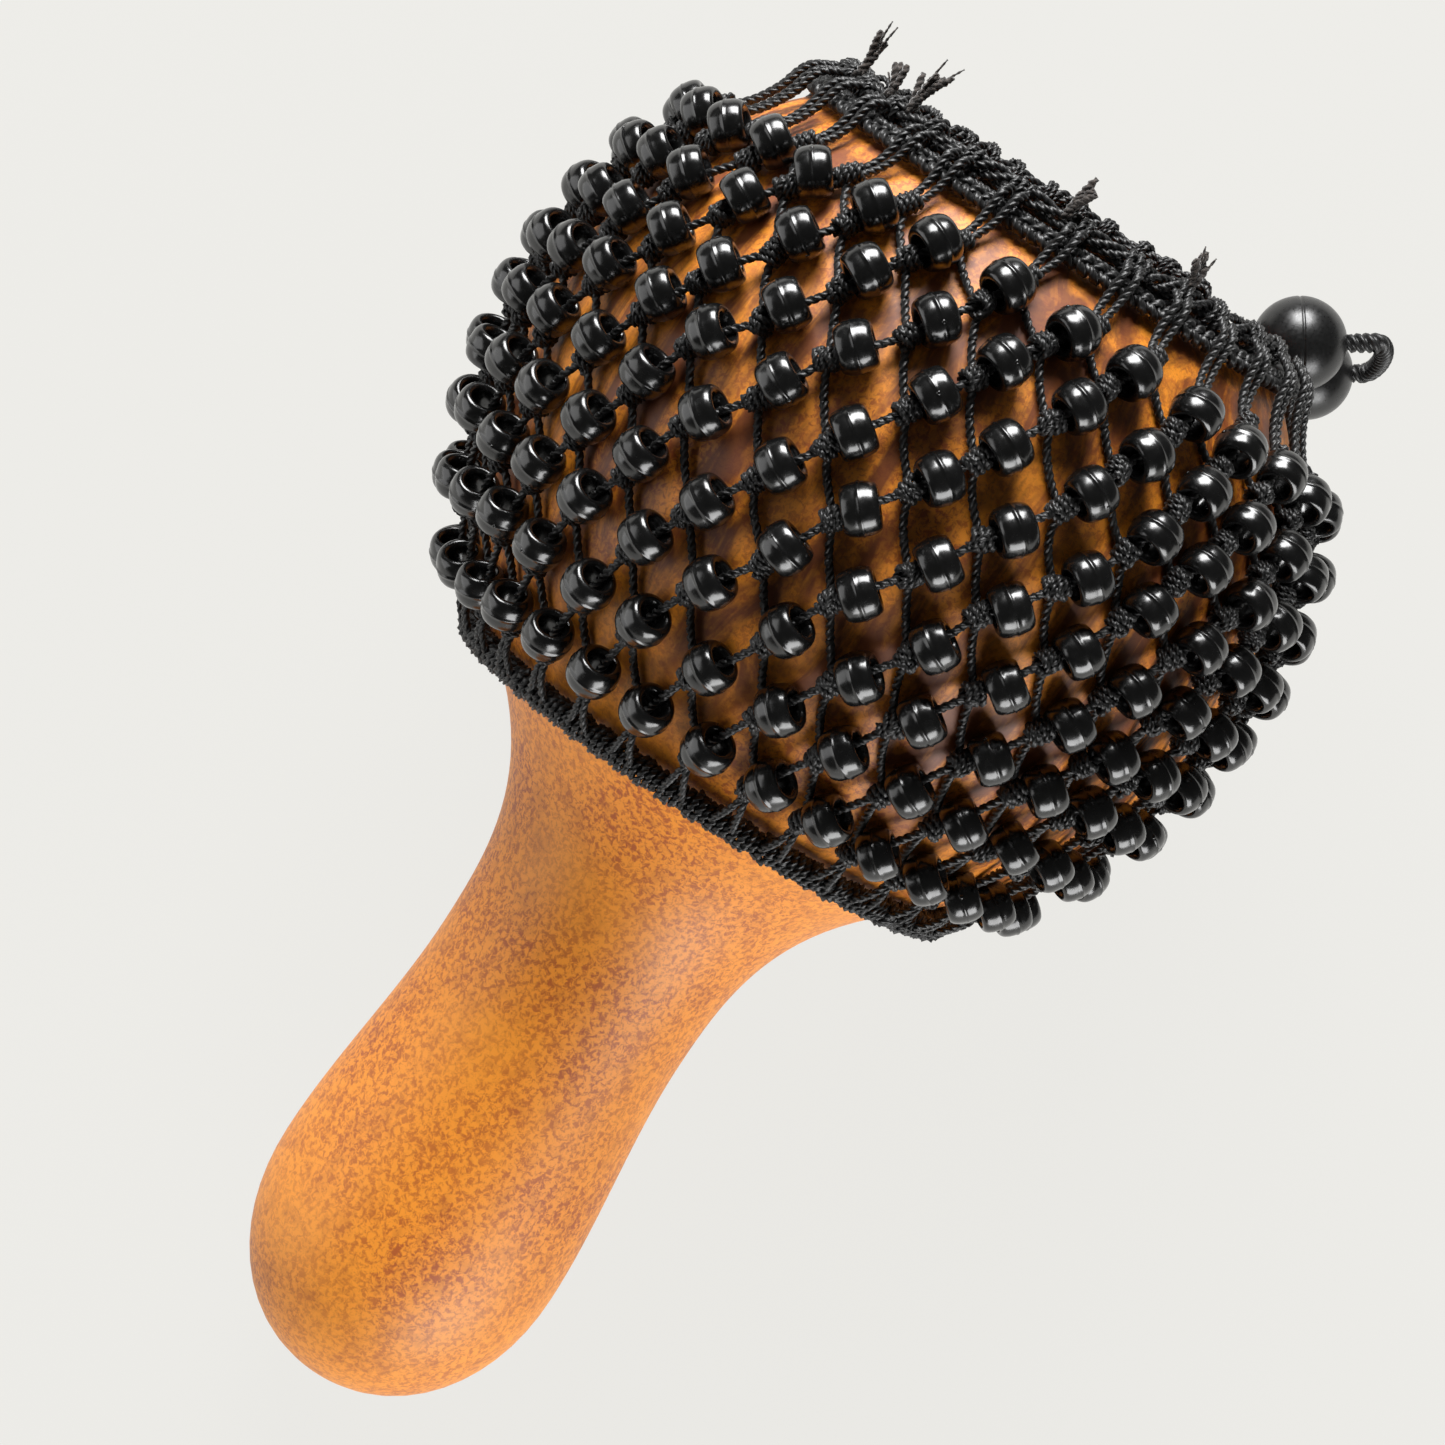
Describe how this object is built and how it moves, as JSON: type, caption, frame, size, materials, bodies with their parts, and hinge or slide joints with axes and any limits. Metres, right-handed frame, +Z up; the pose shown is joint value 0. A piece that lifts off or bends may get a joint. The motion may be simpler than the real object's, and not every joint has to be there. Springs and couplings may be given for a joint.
{
  "type": "beaded gourd rattle",
  "caption": "Hollow bottle-shaped gourd rattle with a closed handle, wrapped in a twisting net of pony beads, with two round beads on its drawcord.",
  "frame": {"origin": "centre of the part's footprint on the floor it lies on, at floor height, measured without the drawcord loop", "axes": "+Z up; +X along the part's length, from the handle towards the open base; the gourd's own axis rises 18.8 degrees from +X; the round drawcord beads are on the -Y side"},
  "size_m": [0.2646, 0.1614, 0.1619],
  "materials": {
    "shell": "satin lacquered gourd skin",
    "bead": "gloss",
    "cord": "twisted nylon cord",
    "toggle": "satin"
  },
  "bodies": {
    "gourd": {"gourd_shell": "shell"},
    "neck_cord": {"neck_ring": "cord", "neck_hitches": "cord"},
    "net_row_1": {"bead_row_1": "bead"},
    "net_row_2": {"bead_row_2": "bead"},
    "net_row_3": {"bead_row_3": "bead"},
    "net_row_4": {"bead_row_4": "bead"},
    "net_row_5": {"bead_row_5": "bead"},
    "net_row_6": {"bead_row_6": "bead"},
    "net_row_7": {"bead_row_7": "bead"},
    "net_row_8": {"bead_row_8": "bead"},
    "net_row_9": {"bead_row_9": "bead"},
    "collar": {"collar_strings": "cord", "collar_braid": "cord", "collar_ridge": "cord", "collar_tuft_1": "cord", "collar_tuft_2": "cord", "collar_tuft_3": "cord", "collar_tuft_4": "cord", "collar_tuft_5": "cord", "drawcord_loop": "cord"},
    "toggle_1": {"toggle_bead_1": "toggle"},
    "toggle_2": {"toggle_bead_2": "toggle"}
  },
  "joints": [
    {"name": "net_turn", "type": "hinge", "parent": "gourd", "child": "neck_cord", "pos_m": [-0.1309, 0.00007, 0.01871], "axis": [0.9465, 0, 0.3228], "continuous": true},
    {"name": "row_1_twist", "type": "hinge", "parent": "neck_cord", "child": "net_row_1", "pos_m": [-0.1309, 0.00007, 0.01871], "axis": [0.9465, 0, 0.3228], "range_deg": [-1.2, 1.2]},
    {"name": "row_2_twist", "type": "hinge", "parent": "net_row_1", "child": "net_row_2", "pos_m": [-0.1309, 0.00007, 0.01871], "axis": [0.9465, 0, 0.3228], "range_deg": [-1.2, 1.2]},
    {"name": "row_3_twist", "type": "hinge", "parent": "net_row_2", "child": "net_row_3", "pos_m": [-0.1309, 0.00007, 0.01871], "axis": [0.9465, 0, 0.3228], "range_deg": [-1.2, 1.2]},
    {"name": "row_4_twist", "type": "hinge", "parent": "net_row_3", "child": "net_row_4", "pos_m": [-0.1309, 0.00007, 0.01871], "axis": [0.9465, 0, 0.3228], "range_deg": [-1.2, 1.2]},
    {"name": "row_5_twist", "type": "hinge", "parent": "net_row_4", "child": "net_row_5", "pos_m": [-0.1309, 0.00007, 0.01871], "axis": [0.9465, 0, 0.3228], "range_deg": [-1.2, 1.2]},
    {"name": "row_6_twist", "type": "hinge", "parent": "net_row_5", "child": "net_row_6", "pos_m": [-0.1309, 0.00007, 0.01871], "axis": [0.9465, 0, 0.3228], "range_deg": [-1.2, 1.2]},
    {"name": "row_7_twist", "type": "hinge", "parent": "net_row_6", "child": "net_row_7", "pos_m": [-0.1309, 0.00007, 0.01871], "axis": [0.9465, 0, 0.3228], "range_deg": [-1.2, 1.2]},
    {"name": "row_8_twist", "type": "hinge", "parent": "net_row_7", "child": "net_row_8", "pos_m": [-0.1309, 0.00007, 0.01871], "axis": [0.9465, 0, 0.3228], "range_deg": [-1.2, 1.2]},
    {"name": "row_9_twist", "type": "hinge", "parent": "net_row_8", "child": "net_row_9", "pos_m": [-0.1309, 0.00007, 0.01871], "axis": [0.9465, 0, 0.3228], "range_deg": [-1.2, 1.2]},
    {"name": "collar_twist", "type": "hinge", "parent": "net_row_9", "child": "collar", "pos_m": [-0.1309, 0.00007, 0.01871], "axis": [0.9465, 0, 0.3228], "range_deg": [-1.2, 1.2]},
    {"name": "toggle_1_slide", "type": "slide", "parent": "collar", "child": "toggle_1", "axis": [0.5155, -0.8387, 0.1758], "range_m": [0, 0.0015]},
    {"name": "toggle_2_slide", "type": "slide", "parent": "collar", "child": "toggle_2", "axis": [0.5155, -0.8387, 0.1758], "range_m": [0, 0.0015]}
  ],
  "couplings": [
    {"joint": "row_2_twist", "follows": "row_1_twist", "ratio": 1},
    {"joint": "row_3_twist", "follows": "row_1_twist", "ratio": 1},
    {"joint": "row_4_twist", "follows": "row_1_twist", "ratio": 1},
    {"joint": "row_5_twist", "follows": "row_1_twist", "ratio": 1},
    {"joint": "row_6_twist", "follows": "row_1_twist", "ratio": 1},
    {"joint": "row_7_twist", "follows": "row_1_twist", "ratio": 1},
    {"joint": "row_8_twist", "follows": "row_1_twist", "ratio": 1},
    {"joint": "row_9_twist", "follows": "row_1_twist", "ratio": 1},
    {"joint": "collar_twist", "follows": "row_1_twist", "ratio": 1}
  ]
}
